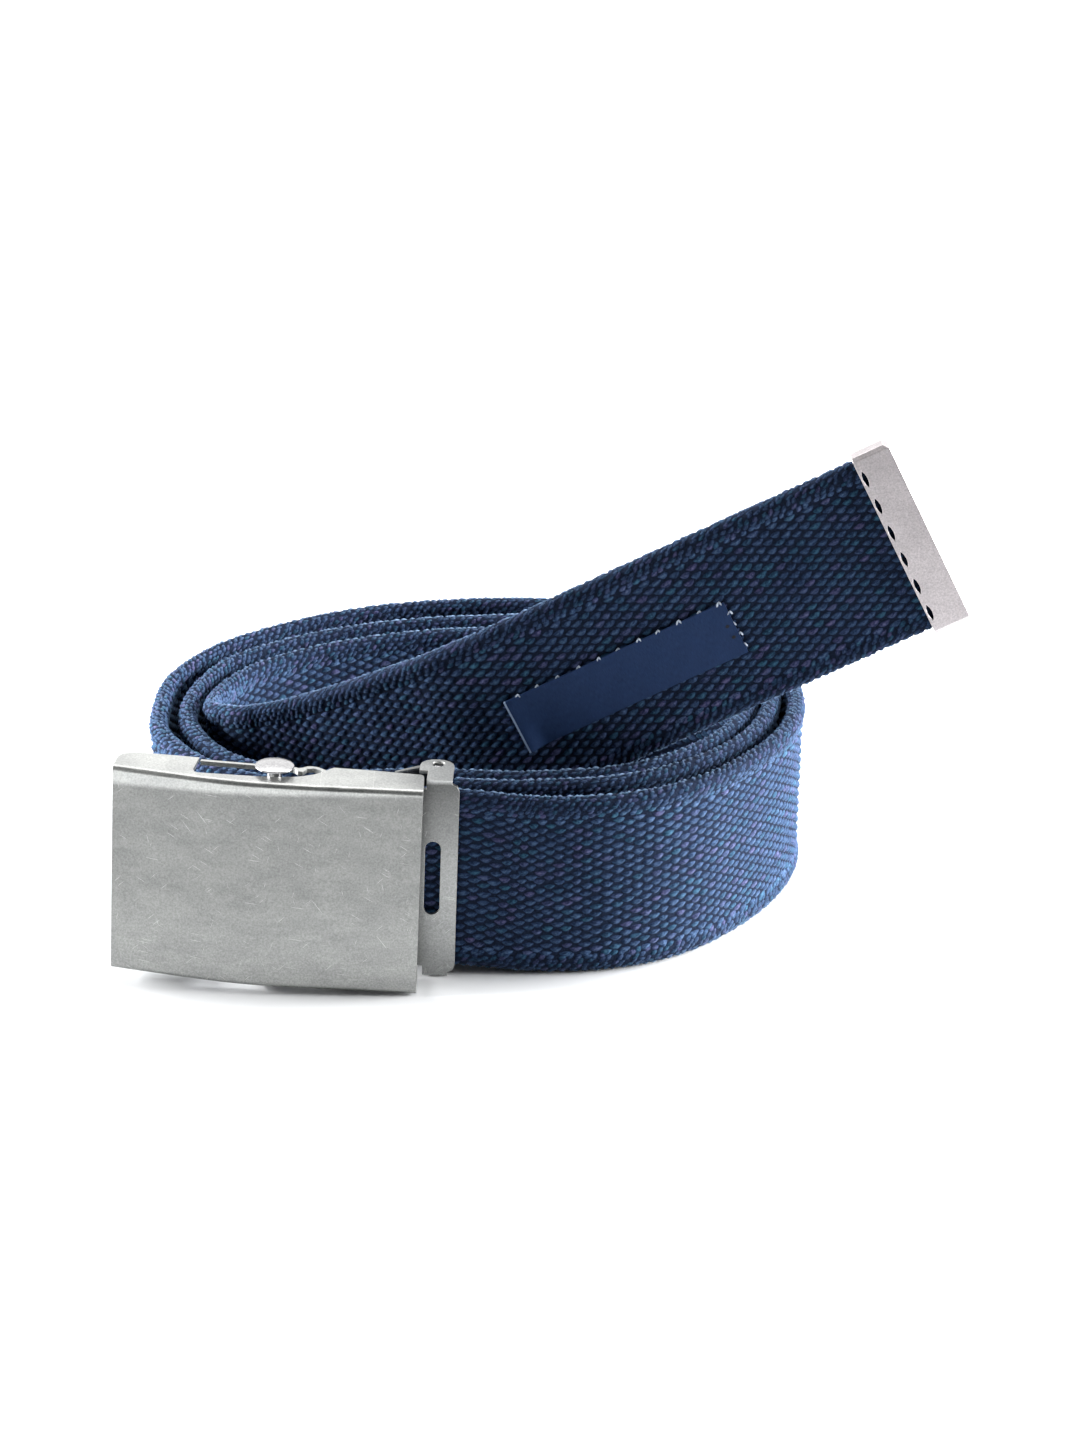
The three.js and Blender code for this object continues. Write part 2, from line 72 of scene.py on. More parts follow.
# route of the webbing's lower edge in mm: x, y, height, lean outwards in degrees
route = [
    (-28, -55, 1.85, 3.6), (-23, -55.2, 1.65, 3.6), (-18, -55.4, 1.42, 3.6), (-13, -55.7, 1.05, 3.7),
    (-5, -56, 0.35, 4), (5, -55.8, 0, 4), (15, -54.3, 0, 4), (24, -50.6, 0, 4), (32.5, -44, 0, 4),
    (39.7, -35, 0, 4), (45.3, -26, 0, 4), (49.6, -16.6, 0, 3.6), (52.6, -6.5, 0, 2), (53.6, 4, 0, 0.6),
    (52.4, 18, 0, 0), (47, 33.6, 0, 0), (37, 45.4, 0, 0), (22, 53.5, 0, 0), (3, 57.1, 0, 0),
    (-15, 57.3, 0, 0), (-33.4, 53.8, 0, 0), (-46, 48.3, 0, 0), (-59, 39.3, 0, 0), (-70.4, 27.6, 0, 0),
    (-78.4, 10.4, 0, 0), (-80, -6, 0, 0), (-79.3, -18.6, 0, 0), (-75.4, -27.4, 0, 0.6),
    (-69.6, -35.4, 0, 1.6), (-62, -41.8, 0, 3), (-52, -45.8, 0, 4), (-42, -46.8, 0, 3.9),
    (-31, -46.2, 0, 3.9), (-21.5, -45.8, 0, 3.8), (-13, -46.6, 0, 4), (-5, -47.2, 0, 4),
    (4, -46.4, 0, 4), (13, -45.2, 0, 4), (22, -41.3, 0, 4), (31, -34.3, 0, 4), (38, -26, 0, 4),
    (42.8, -17.2, 0, 4), (46.7, -7, 0, 2.4), (48.8, 3, 0, 0.6), (48, 15, 0, 0), (43, 28, 0, 0),
    (33, 38.6, 0, 0), (20, 44.8, 0, 0), (4, 47.2, 0, 0), (-12, 46.6, 0, 0), (-30, 43.8, 0, 0),
    (-46, 37.6, 0, 0), (-58, 29.4, 0, 0), (-66.6, 20.6, 0, 0), (-71.4, 9.6, 0, 0), (-74, -3, 0, 0),
    (-73.8, -13, 0, 0), (-71, -22, 0, 0.4), (-66, -30.8, 0, 1.4), (-59, -37.2, 0, 2.8),
    (-50, -41.2, 0, 3.8), (-40, -42, 0, 3.9), (-30.6, -41.4, 0, 3.9), (-21.3, -41, 0, 3.8),
    (-12.4, -41.9, 0, 4), (-5, -42.5, 0, 4), (4, -41.7, 0, 4), (12.3, -40.3, 0, 4), (20.3, -36.7, 0, 4),
    (27.9, -30.5, 0, 4), (34, -23.2, 0, 4), (38.4, -14.8, 0, 4), (42.2, -5.4, 0, 2.4), (44, 4, 0, 0.6),
    (42.6, 15.6, 0, 0), (37, 26, 0, 0), (26.6, 34, 0, 0), (10, 38.8, 0, 0), (-8.8, 39, 0, 0),
    (-26, 36.8, 0, 0), (-41, 31.4, 0, 0), (-53, 24.2, 0, 0), (-61.4, 16, 0, 0), (-66.8, 6, 0, 0),
    (-68.6, -4, 0.4, 0), (-66.2, -12, 1.4, 0), (-59.6, -17.4, 2.9, 0), (-50.4, -21, 5, 0),
    (-40.6, -24.6, 8.2, 0), (-30.6, -28.4, 12.6, 0), (-20.4, -31.8, 17.6, 0), (-10, -34.4, 22.9, 0),
    (0, -35.6, 28.2, 0), (10, -35.9, 33.3, 0), (20, -35.9, 38.25, 0), (30, -35.9, 43.15, 0),
    (48, -35.9, 51.9, 0), (66, -35.9, 60.6, 0), (86, -35.9, 70.3, 0),
]
rollShift = (0.0709, 4.5684, 0.0284)  # mm, brings the roll over the middle of the frame

strap = {  # mm
    "width": 39.8, "thick": 3.3, "selvage": 4.2, "selvageReach": 5.0,
    "recess": 0.34, "beadRecess": 0.28,  # the core lies this far under the yarn
    "crease": 0.15, "creaseWidth": 0.4,  # groove beside each selvage
    "stations": 620, "around": 64, "beadSteps": 40, "bodySteps": 160,
    "tipCover": 6.8, "pinch": 13.0, "slack": 0.1,  # the tip presses the selvages down to the body
}


# dense points and leans along the route, a centripetal curve through the stations
def denseRoute(stations, perSpan=24):
    points = (np.array([s[:3] for s in stations]) + rollShift) / 1000
    leans = np.radians([s[3] for s in stations])
    ring = np.vstack([2 * points[0] - points[1], points, 2 * points[-1] - points[-2]])
    share = np.arange(perSpan) / perSpan
    t = share[:, None]
    places, turns = [], []
    for i in range(len(points) - 1):
        a, b, c, d = ring[i:i + 4]
        ab, bc, cd = (np.linalg.norm(q - p) ** 0.5 for p, q in ((a, b), (b, c), (c, d)))
        start = ((b - a) / ab - (c - a) / (ab + bc) + (c - b) / bc) * bc
        end = ((c - b) / bc - (d - b) / (bc + cd) + (d - c) / cd) * bc
        square = -3 * b + 3 * c - 2 * start - end
        cube = 2 * b - 2 * c + start + end
        places.append(b + start * t + square * t ** 2 + cube * t ** 3)
        turns.append(leans[i] + (leans[i + 1] - leans[i]) * share)
    return np.vstack([*places, points[-1:]]), np.concatenate([*turns, leans[-1:]])


routePoints, routeLeans = denseRoute(route)
routeSteps = np.linalg.norm(np.diff(routePoints, axis=0), axis=1)
routeRun = np.concatenate([[0], np.cumsum(routeSteps)])
strapLength = float(routeRun[-1])
routeTangents = np.gradient(routePoints, routeRun, axis=0)


def along(values, s):
    return np.stack([np.interp(s, routeRun, values[:, k]) for k in range(3)], axis=1)


def unit(rows):
    return rows / np.linalg.norm(rows, axis=1, keepdims=True)


# three directions of the webbing at s: along it, up across it, out of its outer side
def strapAxes(s):
    forward = unit(along(routeTangents, s))
    upright = unit(np.array([0, 0, 1]) - forward * forward[:, 2:])
    sideways = np.cross(forward, upright)
    lean = np.interp(s, routeRun, routeLeans)[:, None]
    across = upright * np.cos(lean) + sideways * np.sin(lean)
    return forward, across, np.cross(forward, across)


# s along the webbing, v up from its lower edge, n out from its middle, all in metres
def onStrap(s, v, n):
    s, v, n = (np.asarray(a, float) for a in (s, v, n))
    inside = np.clip(s, 0, strapLength)
    forward, across, outward = strapAxes(inside)
    start = along(routePoints, inside) + forward * (s - inside)[:, None]
    return start + across * v[:, None] + outward * n[:, None]


# outline of the core's section, counted from the lower edge up the outer side and back
def strapOutline(strap, count):
    radius = (strap["selvage"] / 2 - strap["beadRecess"]) / 1000
    body = (strap["thick"] / 2 - strap["recess"]) / 1000
    middle, reach = strap["selvage"] / 2000, strap["selvageReach"] / 1000
    half = strap["width"] / 2000
    turn = np.linspace(math.pi, math.pi / 2, strap["beadSteps"])
    v = np.linspace(middle, half, strap["bodySteps"])[1:]
    share = np.clip((v - middle) / (reach - middle), 0, 1)
    share = share * share * (3 - 2 * share)
    n = radius + (body - radius) * share
    n -= strap["crease"] / 1000 * np.exp(-((v - reach) * 1000 / strap["creaseWidth"]) ** 2)
    low = np.stack([np.append(middle + radius * np.cos(turn), v),
                    np.append(radius * np.sin(turn), n)], axis=1)
    high = (low * (-1, 1) + (2 * half, 0))[::-1][1:]
    outer = np.vstack([low, high])
    loop = np.vstack([outer, (outer * (1, -1))[::-1][1:]])
    run = np.concatenate([[0], np.cumsum(np.linalg.norm(np.diff(loop, axis=0), axis=1))])
    where = np.linspace(0, run[-1], count + 1)
    ring = np.stack([np.interp(where, run, loop[:, k]) for k in range(2)], axis=1)
    step = np.roll(ring[:-1], -1, axis=0) - np.roll(ring[:-1], 1, axis=0)
    facing = unit(np.stack([-step[:, 1], step[:, 0]], axis=1))
    return ring[:-1], facing, float(run[-1])


def linkMesh(name, vertices, faces, material=None):
    mesh = bpy.data.meshes.new(name)
    mesh.from_pydata(np.asarray(vertices).tolist(), [], faces)
    mesh.validate()
    mesh.shade_smooth()
    if material:
        mesh.materials.append(material)
    return linkObject(name, mesh)


def storeVectors(mesh, name, values):
    layer = mesh.attributes.new(name, "FLOAT_VECTOR", "POINT")
    layer.data.foreach_set("vector", np.asarray(values, np.float32).ravel())


# closed dark core of the webbing, with a flat map that the yarn is laid by
def makeCore(strap, material):
    rows, ringCount = strap["stations"], strap["around"]
    ring, facing, girth = strapOutline(strap, ringCount)
    s = np.repeat(np.linspace(0, strapLength, rows), ringCount)
    v = np.tile(ring[:, 0], rows)
    n = np.tile(ring[:, 1], rows)
    left = (strapLength - s) * 1000 - strap["tipCover"]
    swell = np.clip(left / (strap["pinch"] - strap["tipCover"]), 0, 1)
    swell = swell * swell * (3 - 2 * swell)
    limit = (strap["thick"] / 2 + (strap["selvage"] - strap["thick"]) / 2 * swell
             - strap["recess"] + strap["slack"]) / 1000
    n = np.clip(n, -limit, limit)
    points = onStrap(s, v, n)
    forward, across, outward = strapAxes(s)
    tilt = np.tile(facing, (rows, 1))
    outwards = unit(across * tilt[:, :1] + outward * tilt[:, 1:])
    a = np.arange(rows - 1)[:, None] * ringCount + np.arange(ringCount)[None]
    b = np.arange(rows - 1)[:, None] * ringCount + (np.arange(ringCount) + 1)[None] % ringCount
    quads = np.stack([a, a + ringCount, b + ringCount, b], axis=-1).reshape(-1, 4)
    last = (rows - 1) * ringCount
    faces = quads.tolist()
    faces.append(list(range(ringCount)))
    faces.append(list(range(last + ringCount - 1, last - 1, -1)))
    core = linkMesh("webbingCore", points, faces, material)
    mesh = core.data
    storeVectors(mesh, "outwards", outwards)
    layer = mesh.uv_layers.new(name="lay")
    i, j = np.divmod(np.arange(len(quads)), ringCount)
    u = np.stack([i, i + 1, i + 1, i], axis=1) / (rows - 1)
    w = np.stack([j, j, j + 1, j + 1], axis=1) / ringCount
    flat = np.stack([u, w], axis=-1).reshape(-1, 2)
    flat = np.vstack([flat, np.full((2 * ringCount, 2), 2.0)])  # the ends lie off the map
    layer.data.foreach_set("uv", flat.astype(np.float32).ravel())
    return core, girth


# new node whose inputs, by name or number, are set to a value or wired to a socket
def addNode(tree, kind, inputs=(), **settings):
    node = tree.nodes.new(kind)
    for key, value in settings.items():
        setattr(node, key, value)
    for key, value in dict(inputs).items():
        if isinstance(value, bpy.types.NodeSocket):
            wire(tree, value, node.inputs[key])
        else:
            node.inputs[key].default_value = value
    return node


def wire(tree, source, target):
    tree.links.new(source, target)


def maths(tree, operation, *values):
    return addNode(tree, "ShaderNodeMath", enumerate(values), operation=operation).outputs[0]


def joined(tree, *values):
    return addNode(tree, "ShaderNodeCombineXYZ", enumerate(values)).outputs[0]


def splitVector(tree, vector):
    return addNode(tree, "ShaderNodeSeparateXYZ", {0: vector}).outputs


def scaled(tree, vector, factor):
    return addNode(tree, "ShaderNodeVectorMath", {0: vector, "Scale": factor}, operation="SCALE").outputs[0]


# random number or vector between two bounds, a new one for each point
def randomValue(tree, seed, low=0.0, high=1.0):
    kind = "FLOAT_VECTOR" if isinstance(low, tuple) else "FLOAT"
    node = addNode(tree, "FunctionNodeRandomValue", data_type=kind)
    node.inputs["Min"].default_value, node.inputs["Max"].default_value = low, high
    wire(tree, seed, node.inputs["Seed"])
    return node.outputs[0 if kind == "FLOAT_VECTOR" else 1]


def shapeOf(tree, source):
    return addNode(tree, "GeometryNodeObjectInfo", {"Object": source}).outputs["Geometry"]


# keeps a value on the points of a geometry under a name
def keepOn(tree, geometry, name, kind, value):
    return addNode(tree, "GeometryNodeStoreNamedAttribute", {
        "Geometry": geometry, "Name": name, "Value": value}, data_type=kind, domain="POINT").outputs[0]


def newTree(name, sockets):
    tree = bpy.data.node_groups.new(name, "GeometryNodeTree")
    tree.interface.new_socket("Geometry", in_out="INPUT", socket_type="NodeSocketGeometry")
    tree.interface.new_socket("Geometry", in_out="OUTPUT", socket_type="NodeSocketGeometry")
    for label, kind in sockets:
        tree.interface.new_socket(label, in_out="INPUT", socket_type="NodeSocket" + kind)
    return tree, addNode(tree, "NodeGroupInput").outputs, addNode(tree, "NodeGroupOutput").inputs[0]


# paints the geometry and leads it out of the tree
def finishTree(tree, geometry, material, result):
    paint = addNode(tree, "GeometryNodeSetMaterial", {"Geometry": geometry, "Material": material})
    wire(tree, paint.outputs[0], result)


# runs a tree on a new empty mesh and returns the result as a plain mesh object
def growPiece(name, tree, values):
    seedMesh = bpy.data.meshes.new(name + "Seed")
    seedMesh.from_pydata([(0, 0, 0)], [], [])
    maker = linkObject(name + "Maker", seedMesh)
    grow = maker.modifiers.new("grow", "NODES")
    grow.node_group = tree
    for item in tree.interface.items_tree:
        if item.in_out == "INPUT" and item.name in values:
            grow[item.identifier] = values[item.name]
    bpy.context.view_layer.update()
    ready = maker.evaluated_get(bpy.context.evaluated_depsgraph_get())
    mesh = bpy.data.meshes.new_from_object(ready)
    mesh.name = name
    maker.modifiers.remove(grow)
    bpy.data.objects.remove(maker)
    bpy.data.meshes.remove(seedMesh)
    return linkObject(name, mesh)


yarn = {
    "pitch": 0.0040, "row": 0.000975,  # spacing along the webbing and round it
    "length": 0.0033, "width": 0.00205, "rise": 0.00046, "sink": 0.00014, "spans": 6,
    "swell": 0.72, "crown": 0.8,  # powers that round a crest seen from above and from its side
    "endSink": 2.0, "sideSink": 1.5,  # the ends and sides lie this many sinks deep
    "upper": 0.82, "lower": 1.04,  # a crest is flatter on its upper side
    "smile": 0.00034,  # the middle of a crest lies this far below its ends
    "slant": 5.0, "wander": 0.00016, "seed": 4,  # slant in degrees, from the twist of the yarn
    "bead": 0.0050,  # reach of the round selvage from the edge
    "endGap": 0.0055,  # left bare inside the tip
}
tuft = {
    **yarn, "pitch": 0.0018, "length": 0.0025, "width": 0.0018, "rise": 0.00040, "spans": 4,
    "upper": 1.0, "lower": 1.0, "smile": 0.0001, "slant": 32.0, "wander": 0.0005,
}
spread = {  # how far one crest differs from the next
    "place": ((-1, -0.5, 0), (1, 0.5, 0)),  # times the yarn's wander
    "turn": (0.3, 1.7),  # times its slant
    "size": ((0.86, 0.86, 0.75), (1.1, 1.06, 1.1)),
    "start": 0.3, "odd": 0.5,  # in steps: where a row begins, and how far an odd row is shifted
    "seeds": {"tone": 7.0, "turn": 3.0, "size": 5.0},
    "alongMargin": 0.0002, "roundMargin": 0.0001,  # keeps off the seams of the flat map
}


# one crest of yarn: a pointed dome along x, flatter above than below
def makeCrest(yarn):
    spans, faces = yarn["spans"], []
    half, wide, deep = yarn["length"] / 2, yarn["width"] / 2, yarn["sink"] * yarn["endSink"]
    vertices = [(-half, 0, -deep)]
    for i in range(1, spans):
        x = -1 + 2 * i / spans
        swell = math.cos(x * math.pi / 2) ** yarn["swell"]
        top = (yarn["rise"] + deep) * math.cos(x * math.pi / 2) ** yarn["crown"] - deep
        for side in (-1, 0, 1):
            z = top if side == 0 else -yarn["sink"] * yarn["sideSink"]
            reach = side * wide * swell * (yarn["upper"] if side > 0 else yarn["lower"])
            vertices.append((x * half, reach - yarn["smile"] * (1 - x * x), z))
    vertices.append((half, 0, -deep))
    last = len(vertices) - 1
    for side in (0, 1):
        faces.append((0, 2 + side, 1 + side))
        for i in range(spans - 2):
            a = 1 + 3 * i + side
            faces.append((a, a + 1, a + 4, a + 3))
        a = 1 + 3 * (spans - 2) + side
        faces.append((a, a + 1, last))
    return linkMesh("yarnCrest", vertices, faces)


# tree that lays crests of yarn in rows and wraps them round the core
def weaveTree(spread):
    tree, given, result = newTree("weaveRows", [
        ("Core", "Object"), ("Crest", "Object"), ("Length", "Float"), ("Girth", "Float"),
        ("Start", "Float"), ("Pitch", "Float"), ("Row", "Float"), ("First row", "Int"), ("Rows", "Int"),
        ("Crests in a row", "Int"), ("Slant", "Float"), ("Wander", "Float"), ("Seed", "Int"),
        ("Yarn", "Material")])
    count = maths(tree, "MULTIPLY", given["Rows"], given["Crests in a row"])
    spots = addNode(tree, "GeometryNodePoints", {"Count": count})
    index = addNode(tree, "GeometryNodeInputIndex").outputs[0]
    row = maths(tree, "FLOOR", maths(tree, "DIVIDE", index, given["Crests in a row"]))
    place = maths(tree, "SUBTRACT", index, maths(tree, "MULTIPLY", row, given["Crests in a row"]))
    row = maths(tree, "ADD", row, given["First row"])
    odd = maths(tree, "PINGPONG", row, 1.0)
    shift = maths(tree, "MULTIPLY_ADD", odd, spread["odd"], spread["start"])
    s = maths(tree, "MULTIPLY_ADD", maths(tree, "ADD", place, shift), given["Pitch"], given["Start"])
    p = maths(tree, "MULTIPLY", row, given["Row"])
    wander = scaled(tree, randomValue(tree, given["Seed"], *spread["place"]), given["Wander"])
    laid = addNode(tree, "GeometryNodeSetPosition", {
        "Geometry": spots.outputs[0], "Position": joined(tree, s, p), "Offset": wander})
    seeds = {key: maths(tree, "ADD", given["Seed"], step) for key, step in spread["seeds"].items()}
    toned = keepOn(tree, laid.outputs[0], "tone", "FLOAT", randomValue(tree, seeds["tone"]))
    turn = maths(tree, "MULTIPLY", randomValue(tree, seeds["turn"], *spread["turn"]), given["Slant"])
    crests = addNode(tree, "GeometryNodeInstanceOnPoints", {
        "Points": toned, "Instance": shapeOf(tree, given["Crest"]), "Rotation": joined(tree, 0, 0, turn),
        "Scale": randomValue(tree, seeds["size"], *spread["size"])})
    real = addNode(tree, "GeometryNodeRealizeInstances", {0: crests.outputs[0]})
    finishTree(tree, wrapOnCore(tree, given, real.outputs[0], spread), given["Yarn"], result)
    return tree


# keeps the flat place as the attribute weave, then bends the geometry onto the core
def wrapOnCore(tree, given, geometry, spread):
    flat = addNode(tree, "GeometryNodeInputPosition").outputs[0]
    kept = keepOn(tree, geometry, "weave", "FLOAT_VECTOR", flat)
    x, y, z = splitVector(tree, flat)
    turned = maths(tree, "WRAP", maths(tree, "DIVIDE", y, given["Girth"]), 1.0, 0.0)
    place = []
    for value, margin in ((maths(tree, "DIVIDE", x, given["Length"]), spread["alongMargin"]),
                          (turned, spread["roundMargin"])):
        place.append(addNode(tree, "ShaderNodeClamp", {0: value, 1: margin, 2: 1 - margin}).outputs[0])
    where = joined(tree, *place)
    core = shapeOf(tree, given["Core"])
    lay, facing = (addNode(tree, "GeometryNodeInputNamedAttribute", {"Name": name},
                           data_type="FLOAT_VECTOR").outputs[0] for name in ("lay", "outwards"))
    found = [addNode(tree, "GeometryNodeSampleUVSurface", {
        "Mesh": core, "Value": field, "Source UV Map": lay, "Sample UV": where},
        data_type="FLOAT_VECTOR").outputs["Value"] for field in (flat, facing)]
    return addNode(tree, "GeometryNodeSetPosition", {
        "Geometry": kept, "Position": found[0], "Offset": scaled(tree, found[1], z)}).outputs[0]


fuzz = {
    "perArea": 120000, "length": 0.0011, "width": 0.00006, "seed": 12,
    "bend": 0.55, "upright": 0.92,  # shares of the length that its tip leans over and stands up
    "size": (0.55, 1.25), "spin": ((-0.5, -0.5, 0), (0.5, 0.5, 2 * math.pi)),
    "colour": (0.035, 0.06, 0.13),
}


# one loose fibre: a thin bent blade that stands on the core
def makeFibre(fuzz):
    vertices, spans = [], 3
    for i in range(spans):
        share = i / spans
        lean, rise = fuzz["bend"] * share ** 2 * fuzz["length"], share * fuzz["length"]
        for side in (-0.5, 0.5):
            vertices.append((lean, side * fuzz["width"] * (1 - 0.5 * share), rise))
    vertices.append((fuzz["bend"] * fuzz["length"], 0, fuzz["length"] * fuzz["upright"]))
    return linkMesh("looseFibre", vertices, [(0, 1, 3, 2), (2, 3, 5, 4), (4, 5, 6)])


# tree that scatters loose fibres over the core
def fuzzTree(fuzz):
    tree, given, result = newTree("looseFibres", [
        ("Core", "Object"), ("Fibre", "Object"), ("Per area", "Float"), ("Seed", "Int"),
        ("Cloth", "Material")])
    spots = addNode(tree, "GeometryNodeDistributePointsOnFaces", {
        "Mesh": shapeOf(tree, given["Core"]), "Density": given["Per area"], "Seed": given["Seed"]})
    stood = addNode(tree, "GeometryNodeInstanceOnPoints", {
        "Points": spots.outputs["Points"], "Instance": shapeOf(tree, given["Fibre"]),
        "Rotation": spots.outputs["Rotation"], "Scale": randomValue(tree, given["Seed"], *fuzz["size"])})
    spin = randomValue(tree, maths(tree, "ADD", given["Seed"], 1.0), *fuzz["spin"])
    turned = addNode(tree, "GeometryNodeRotateInstances", {
        "Instances": stood.outputs[0], "Rotation": spin})
    real = addNode(tree, "GeometryNodeRealizeInstances", {0: turned.outputs[0]})
    finishTree(tree, real.outputs[0], given["Cloth"], result)
    return tree


def newMaterial(name):
    material = bpy.data.materials.new(name)
    material.use_nodes = True
    tree = material.node_tree
    return material, tree, tree.nodes["Principled BSDF"]


def plainMaterial(name, colour, rough, specular=0.5):
    material, _, shader = newMaterial(name)
    shader.inputs["Base Color"].default_value = (*colour, 1)
    shader.inputs["Roughness"].default_value = rough
    shader.inputs["Specular IOR Level"].default_value = specular
    return material


def ramp(tree, factor, stops):
    node = addNode(tree, "ShaderNodeValToRGB", {0: factor})
    bands = node.color_ramp.elements
    while len(bands) < len(stops):
        bands.new(0.5)
    for band, (place, colour) in zip(bands, stops):
        band.position = place
        band.color = (*colour, 1)
    return node.outputs[0]


def attribute(tree, name):
    return addNode(tree, "ShaderNodeAttribute", attribute_name=name)


def ownPlace(tree):
    return addNode(tree, "ShaderNodeTexCoord").outputs["Object"]


# pattern space turned first, then divided by a size in m along each of its axes
def mapped(tree, vector, size, turn=(0, 0, 0)):
    return addNode(tree, "ShaderNodeMapping", {
        "Scale": size, "Rotation": [math.radians(a) for a in turn], "Vector": vector},
        vector_type="TEXTURE").outputs[0]


def noise(tree, vector, scale=1.0, detail=3.0, rough=0.55):
    return addNode(tree, "ShaderNodeTexNoise", {
        "Scale": scale, "Detail": detail, "Roughness": rough, "Vector": vector}).outputs["Fac"]


def mapRange(tree, value, low, high, start=0.0, end=1.0):
    return addNode(tree, "ShaderNodeMapRange", {
        "Value": value, "From Min": low, "From Max": high, "To Min": start, "To Max": end}).outputs[0]


def blendColour(tree, kind, factor, first, second):
    sides = [(*side, 1) if isinstance(side, tuple) else side for side in (first, second)]
    return addNode(tree, "ShaderNodeMix", {0: factor, 6: sides[0], 7: sides[1]},
                   data_type="RGBA", blend_type=kind).outputs[2]


def bump(tree, height, distance, strength, shader):
    node = addNode(tree, "ShaderNodeBump", {"Distance": distance, "Strength": strength, "Height": height})
    wire(tree, node.outputs[0], shader.inputs["Normal"])


cotton = {
    "teal": (0.015, 0.052, 0.094), "navy": (0.0235, 0.046, 0.100), "violet": (0.042, 0.044, 0.106),
    "sheen": (0.45, 0.68, 1.0),
    # patterns that multiply the colour: size in m, turn, detail, roughness, two ramp stops, strength
    "patterns": {
        "patches": ((0.014, 0.009, 0.014), 0, 3.0, 0.55,
                    (0.3, (0.80, 0.82, 0.86)), (0.7, (1.18, 1.16, 1.12)), 1.0),
        "mottle": ((0.0008, 0.00055, 0.0006), 20, 3.0, 0.65,
                   (0.38, (0.36, 0.42, 0.52)), (0.62, (1.75, 1.62, 1.48)), 0.9),
        "fibres": ((0.0011, 0.00016, 0.0008), 24, 2.0, 0.55,
                   (0.35, (0.72, 0.74, 0.78)), (0.65, (1.3, 1.28, 1.24)), 0.8),
    },
    # painted shade and highlight by the height on a crest: dark in the gap beside it, light on its top,
    # heights in m
    "foot": -0.00008, "crown": 0.00034,
    "shade": [(0.0, (0.14, 0.16, 0.25)), (0.45, (0.72, 0.75, 0.82)), (0.95, (1.24, 1.22, 1.2))],
    # brightness by the distance from the webbing's edge, in cm round it: bead, light row, body; the light
    # row is a painted highlight on the ridge beside the crease
    "bands": [(0.0, (0.55, 0.54, 0.58)), (0.2, (0.72, 0.70, 0.74)), (0.42, (0.78, 0.76, 0.8)),
              (0.48, (1.3, 1.3, 1.25)), (0.60, (1.4, 1.35, 1.28)), (0.66, (1, 1, 1))],
    "bead": [(0.42, (1, 1, 1)), (0.5, (0, 0, 0))],
    "paintedLeftLight": (2.5, 2.3, 2.05), "leftLightFrom": -0.045, "leftLightTo": -0.080,  # painted light: the bead is paler towards the left, where the left lamp falls on it
    "relief": 0.00016,
}


# cotton yarn: mixed blues from crest to crest, painted shade between them and a painted highlight on their
# tops, twisted fibres
def yarnMaterial(cotton, girth):
    material, tree, shader = newMaterial("navyCotton")
    tone = attribute(tree, "tone").outputs["Fac"]
    weave = attribute(tree, "weave").outputs["Vector"]
    colour = ramp(tree, tone, [(0.0, cotton["teal"]), (0.3, cotton["navy"]),
                               (0.75, cotton["navy"]), (1.0, cotton["violet"])])
    patterns = {}
    for name, (size, turn, detail, rough, low, high, strength) in cotton["patterns"].items():
        patterns[name] = noise(tree, mapped(tree, weave, size, (0, 0, turn)), 1.0, detail, rough)
        colour = blendColour(tree, "MULTIPLY", strength, colour, ramp(tree, patterns[name], [low, high]))
    _, p, height = splitVector(tree, weave)
    # painted shade in the gaps, painted highlight on the crowns
    lift = mapRange(tree, height, cotton["foot"], cotton["crown"])
    colour = blendColour(tree, "MULTIPLY", 1.0, colour, ramp(tree, lift, cotton["shade"]))
    edge = maths(tree, "DIVIDE", maths(tree, "PINGPONG", p, girth / 4), 0.01)
    # the light row in these bands is a painted highlight
    colour = blendColour(tree, "MULTIPLY", 1.0, colour, ramp(tree, edge, cotton["bands"]))
    # painted light on the left part of each bead
    leftwards = mapRange(tree, splitVector(tree, ownPlace(tree))[0], cotton["leftLightFrom"], cotton["leftLightTo"])
    paintedLeftLight = maths(tree, "MULTIPLY", leftwards, ramp(tree, edge, cotton["bead"]))
    colour = blendColour(tree, "MULTIPLY", paintedLeftLight, colour, cotton["paintedLeftLight"])
    wire(tree, colour, shader.inputs["Base Color"])
    shader.inputs["Roughness"].default_value = 0.95
    shader.inputs["Specular IOR Level"].default_value = 0.06
    shader.inputs["Sheen Weight"].default_value = 0.3
    shader.inputs["Sheen Roughness"].default_value = 0.5
    shader.inputs["Sheen Tint"].default_value = (*cotton["sheen"], 1)
    tufts = maths(tree, "ADD", maths(tree, "MULTIPLY", patterns["mottle"], 1.5), patterns["fibres"])
    bump(tree, tufts, cotton["relief"], 0.8, shader)
    return material


shadow = {
    "stops": [(0.3, (0.004, 0.007, 0.018)), (0.7, (0.010, 0.018, 0.040))],
    "grain": 2200.0, "relief": 0.0002,
}


# painted shade: the core is coloured as the deep shade seen between the crests
def coreMaterial(shadow):
    material, tree, shader = newMaterial("webbingShade")
    grain = noise(tree, ownPlace(tree), shadow["grain"])
    wire(tree, ramp(tree, grain, shadow["stops"]), shader.inputs["Base Color"])
    shader.inputs["Roughness"].default_value = 0.95
    shader.inputs["Specular IOR Level"].default_value = 0.1
    bump(tree, grain, shadow["relief"], 0.5, shader)
    return material


